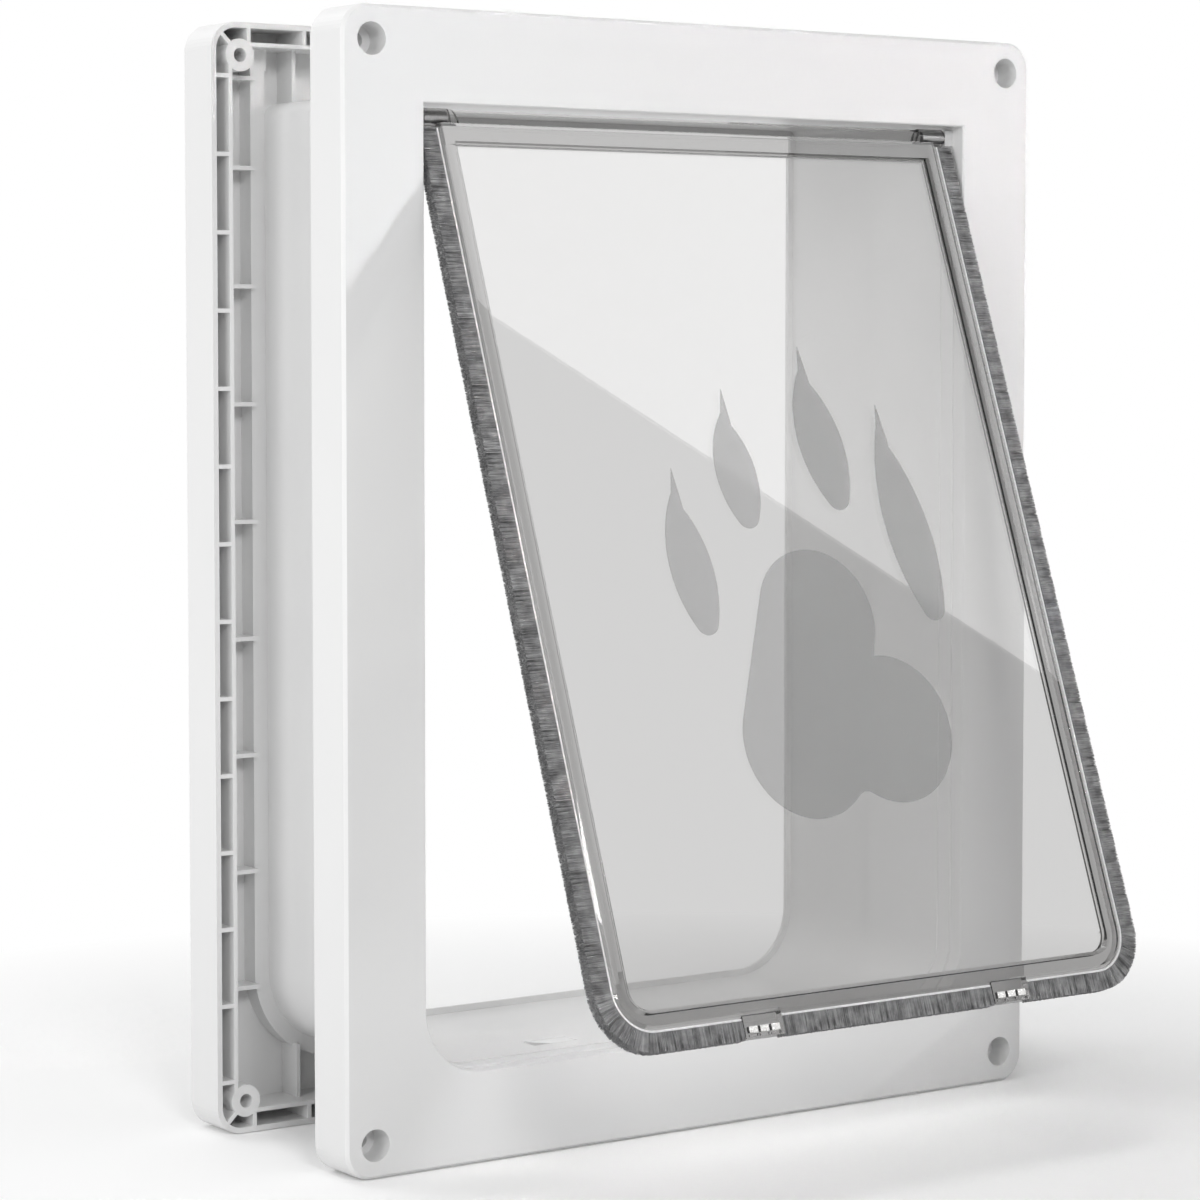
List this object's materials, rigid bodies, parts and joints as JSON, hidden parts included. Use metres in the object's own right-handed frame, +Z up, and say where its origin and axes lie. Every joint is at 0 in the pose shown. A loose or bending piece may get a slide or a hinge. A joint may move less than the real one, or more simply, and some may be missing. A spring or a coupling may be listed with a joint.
{
  "type": "dog door",
  "caption": "White telescoping dog door: ribbed moulded frames clamp a door leaf, and a clear top-hinged flap with pile seal, magnets and a paw motif swings both ways.",
  "frame": {"origin": "centre of the front frame's four screw holes, on the plane where that frame meets the door", "axes": "+X to the right of someone facing the front frame, +Y through the door to the rear frame, +Z up"},
  "size_m": [0.368, 0.2587, 0.48],
  "materials": {
    "white_plastic": "satin moulded",
    "clear_plastic": "clear smoky",
    "steel": "drawn",
    "bush_plastic": "satin",
    "seal_base": "satin",
    "pile": "brush pile",
    "nickel": "bright plated",
    "ferrite": "dull",
    "inset_plastic": "smooth",
    "paw_ink": "translucent print"
  },
  "bodies": {
    "front": {"front_frame": "white_plastic", "hinge_bush_left": "bush_plastic", "hinge_bush_right": "bush_plastic", "sill_magnet_left": "ferrite", "sill_magnet_right": "ferrite", "magnet_cap_left": "white_plastic", "magnet_cap_right": "white_plastic", "inset_plate_left": "inset_plastic", "inset_plate_right": "inset_plastic"},
    "flap": {"flap_panel": "clear_plastic", "hinge_pin_left": "steel", "hinge_pin_right": "steel", "seal_base_left": "seal_base", "seal_base_middle": "seal_base", "seal_base_right": "seal_base", "pile_left": "pile", "pile_middle": "pile", "pile_right": "pile", "flap_magnets_left": "nickel", "flap_magnets_right": "nickel", "paw_print": "paw_ink"},
    "rear": {"rear_frame": "white_plastic"}
  },
  "joints": [
    {"name": "flap_swing", "type": "hinge", "parent": "front", "child": "flap", "pos_m": [0, -0.014, 0.1958], "axis": [-1, 0, 0], "range_deg": [-100, 60]},
    {"name": "rear_slide", "type": "slide", "parent": "front", "child": "rear", "axis": [0, 1, 0], "range_m": [-0.03, 0.008]}
  ]
}
